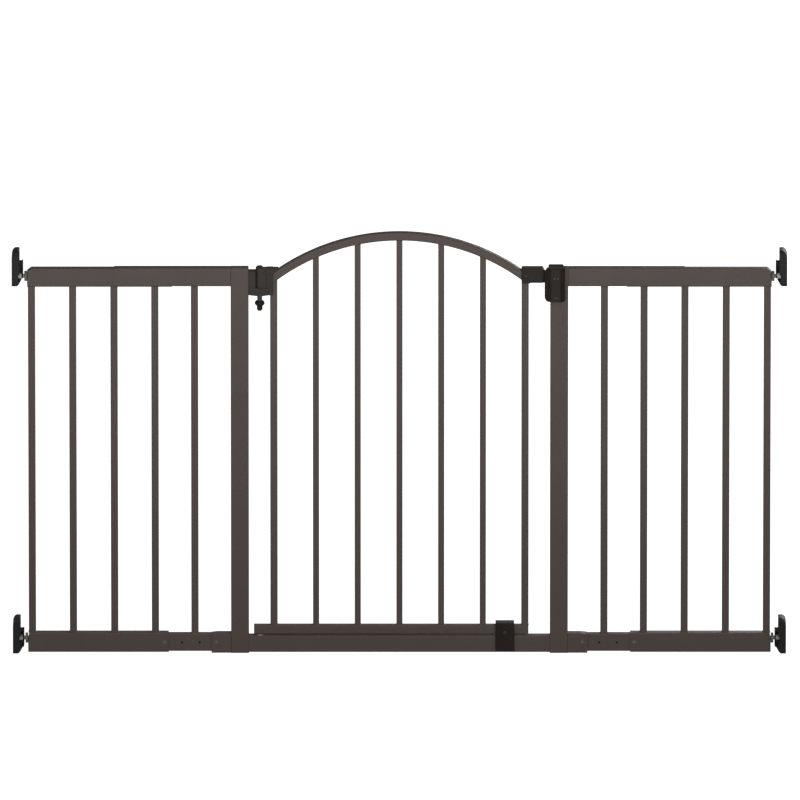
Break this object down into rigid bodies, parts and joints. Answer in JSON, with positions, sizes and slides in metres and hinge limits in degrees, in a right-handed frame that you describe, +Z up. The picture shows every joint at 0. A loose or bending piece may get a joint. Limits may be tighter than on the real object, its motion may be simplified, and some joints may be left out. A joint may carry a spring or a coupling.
{
  "type": "safety gate",
  "caption": "Extra-wide walk-through safety gate: arched lift-and-swing door with latch between posts, telescoping barred side panels, threaded feet in wall cups.",
  "frame": {"origin": "on the floor, under the middle of the whole gate's box; the gate's own middle plane is 4.5 mm behind it because the handle stands out at the front", "axes": "+X to the right as seen from the handle side, +Y to the back, +Z up"},
  "size_m": [1.642, 0.055, 0.918],
  "materials": {
    "bronze_powdercoat": "satin bronze-brown powder coat on steel tube",
    "bronze_screw": "painted domed screw heads",
    "latch_plastic": "fine-grained dark brown moulding",
    "hinge_plastic": "fine-grained dark olive-brown moulding",
    "cup_plastic": "near-black textured moulding",
    "black_plastic": "black moulding",
    "dark_screw": "black-oxide screw heads",
    "nut_plate": "dull yellow-passivated nuts",
    "zinc": "bright zinc plating"
  },
  "bodies": {
    "frame": {"left_post": "bronze_powdercoat", "right_post": "bronze_powdercoat", "post_caps": "bronze_powdercoat", "base_rail": "bronze_powdercoat", "fixed_bars": "bronze_powdercoat", "socket_screws": "bronze_screw", "lower_pivot_pin": "zinc", "hinge_bracket": "hinge_plastic", "striker_plate": "zinc", "left_top_channel": "bronze_powdercoat", "left_post_socket": "bronze_powdercoat", "left_inner_tube": "bronze_powdercoat", "right_top_channel": "bronze_powdercoat", "right_post_socket": "bronze_powdercoat", "right_inner_tube": "bronze_powdercoat"},
    "hinge_pin": {"hinge_pin": "dark_screw", "hinge_pin_cap": "hinge_plastic", "hinge_retaining_nut": "black_plastic"},
    "door": {"door_bottom_rail": "bronze_powdercoat", "door_rail_plugs": "black_plastic", "door_hinge_stile": "bronze_powdercoat", "door_latch_stile": "bronze_powdercoat", "door_arch": "bronze_powdercoat", "door_bars": "bronze_powdercoat", "door_hinge_housing": "hinge_plastic", "door_pivot_bush": "black_plastic", "latch_arm_front": "latch_plastic", "latch_arm_back": "latch_plastic", "latch_arm_screw": "dark_screw", "handle_front_shell": "latch_plastic", "handle_back_shell": "latch_plastic", "handle_screws": "zinc", "stop_clip": "latch_plastic", "stop_clip_screw": "dark_screw"},
    "lock": {"thumb_button": "latch_plastic", "lock_bolt": "latch_plastic"},
    "left_panel": {"left_panel_top_tube": "bronze_powdercoat", "left_panel_bottom_sleeve": "bronze_powdercoat", "left_panel_bars": "bronze_powdercoat", "left_panel_end_caps": "black_plastic", "left_panel_lock_screw": "bronze_screw"},
    "left_top_foot": {"left_top_spindle": "zinc", "left_top_wall_cup": "cup_plastic"},
    "left_top_nut": {"left_top_adjusting_nut": "nut_plate"},
    "left_bottom_foot": {"left_bottom_spindle": "zinc", "left_bottom_wall_cup": "cup_plastic"},
    "left_bottom_nut": {"left_bottom_adjusting_nut": "nut_plate"},
    "right_panel": {"right_panel_top_tube": "bronze_powdercoat", "right_panel_bottom_sleeve": "bronze_powdercoat", "right_panel_bars": "bronze_powdercoat", "right_panel_end_caps": "black_plastic", "right_panel_lock_screw": "bronze_screw"},
    "right_top_foot": {"right_top_spindle": "zinc", "right_top_wall_cup": "cup_plastic"},
    "right_top_nut": {"right_top_adjusting_nut": "nut_plate"},
    "right_bottom_foot": {"right_bottom_spindle": "zinc", "right_bottom_wall_cup": "cup_plastic"},
    "right_bottom_nut": {"right_bottom_adjusting_nut": "nut_plate"}
  },
  "joints": [
    {"name": "door_lift", "type": "slide", "parent": "frame", "child": "hinge_pin", "axis": [0, 0, 1], "range_m": [0, 0.01]},
    {"name": "door_swing", "type": "hinge", "parent": "hinge_pin", "child": "door", "pos_m": [-0.296, 0.0045, 0], "axis": [0, 0, -1], "range_deg": [0, 90]},
    {"name": "lock_slide", "type": "slide", "parent": "door", "child": "lock", "axis": [0, 1, 0], "range_m": [0, 0.006]},
    {"name": "left_panel_slide", "type": "slide", "parent": "frame", "child": "left_panel", "axis": [1, 0, 0], "range_m": [0, 0.0374]},
    {"name": "left_top_foot_slide", "type": "slide", "parent": "left_panel", "child": "left_top_foot", "axis": [-1, 0, 0], "range_m": [-0.0015, 0.02]},
    {"name": "left_top_nut_spin", "type": "hinge", "parent": "left_panel", "child": "left_top_nut", "pos_m": [-0.7916, 0.0045, 0.822], "axis": [-1, 0, 0], "range_deg": [-400, 4900]},
    {"name": "left_bottom_foot_slide", "type": "slide", "parent": "left_panel", "child": "left_bottom_foot", "axis": [-1, 0, 0], "range_m": [-0.0015, 0.02]},
    {"name": "left_bottom_nut_spin", "type": "hinge", "parent": "left_panel", "child": "left_bottom_nut", "pos_m": [-0.7916, 0.0045, 0.031], "axis": [-1, 0, 0], "range_deg": [-400, 4900]},
    {"name": "right_panel_slide", "type": "slide", "parent": "frame", "child": "right_panel", "axis": [-1, 0, 0], "range_m": [0, 0.0374]},
    {"name": "right_top_foot_slide", "type": "slide", "parent": "right_panel", "child": "right_top_foot", "axis": [1, 0, 0], "range_m": [-0.0015, 0.02]},
    {"name": "right_top_nut_spin", "type": "hinge", "parent": "right_panel", "child": "right_top_nut", "pos_m": [0.7916, 0.0045, 0.822], "axis": [1, 0, 0], "range_deg": [-400, 4900]},
    {"name": "right_bottom_foot_slide", "type": "slide", "parent": "right_panel", "child": "right_bottom_foot", "axis": [1, 0, 0], "range_m": [-0.0015, 0.02]},
    {"name": "right_bottom_nut_spin", "type": "hinge", "parent": "right_panel", "child": "right_bottom_nut", "pos_m": [0.7916, 0.0045, 0.031], "axis": [1, 0, 0], "range_deg": [-400, 4900]}
  ],
  "couplings": [
    {"joint": "left_top_nut_spin", "follows": "left_top_foot_slide", "rad_per_m": 4188.8},
    {"joint": "left_bottom_nut_spin", "follows": "left_bottom_foot_slide", "rad_per_m": 4188.8},
    {"joint": "right_top_nut_spin", "follows": "right_top_foot_slide", "rad_per_m": 4188.8},
    {"joint": "right_bottom_nut_spin", "follows": "right_bottom_foot_slide", "rad_per_m": 4188.8}
  ]
}
